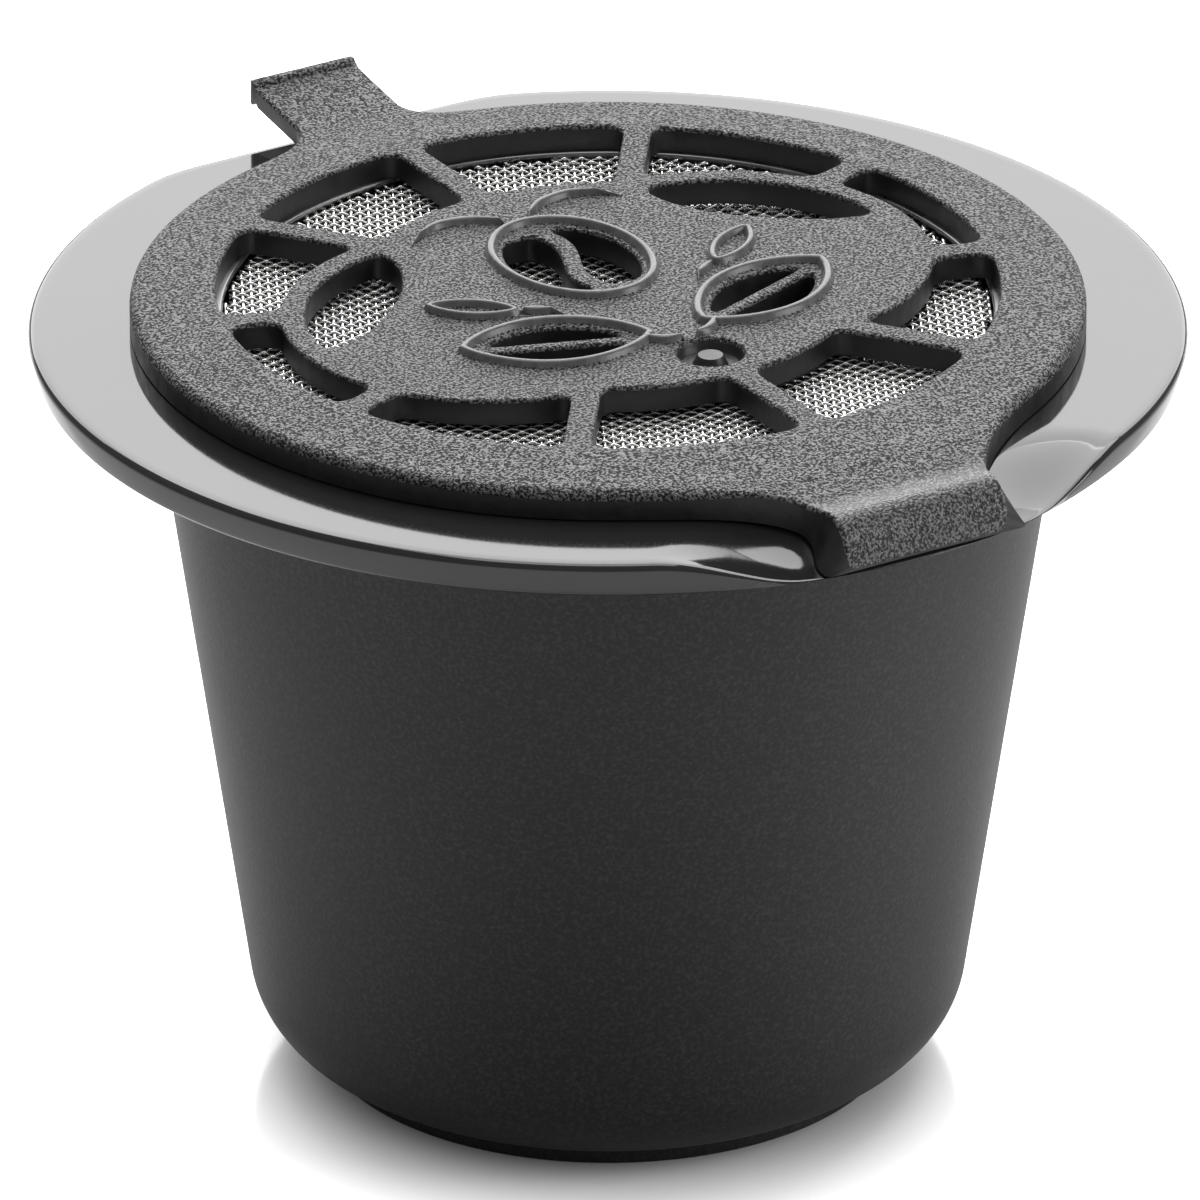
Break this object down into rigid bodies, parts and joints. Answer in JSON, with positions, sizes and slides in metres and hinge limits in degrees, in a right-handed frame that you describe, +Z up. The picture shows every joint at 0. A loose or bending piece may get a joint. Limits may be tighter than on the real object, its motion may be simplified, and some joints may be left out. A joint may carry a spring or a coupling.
{
  "type": "reusable coffee capsule",
  "caption": "Refillable coffee capsule: a tapered plastic cup with a wide flat rim, a perforated hinged lid with a thumb tab, and woven steel filters in the lid and base.",
  "frame": {"origin": "centre of the base, on the surface that the capsule stands on", "axes": "+Z up along the capsule's axis, +Y towards the thumb tab, -Y towards the hinge"},
  "size_m": [0.037, 0.0378, 0.0273],
  "materials": {
    "cup_plastic": "glossy rim, finely matt body",
    "lid_plastic": "fine spark-eroded grain with smooth raised lines",
    "steel_rim": "smooth rolled steel",
    "steel_mesh": "bright plain-woven wire"
  },
  "bodies": {
    "cup": {"capsule_body": "cup_plastic", "base_filter_mesh": "steel_mesh", "base_filter_rim": "steel_rim"},
    "lid": {"lid": "lid_plastic", "lid_filter_rim": "steel_rim", "lid_filter_mesh": "steel_mesh"}
  },
  "joints": [
    {"name": "lid_hinge", "type": "hinge", "parent": "cup", "child": "lid", "pos_m": [0, -0.0185, 0.0247], "axis": [1, 0, 0], "range_deg": [0, 150]}
  ]
}
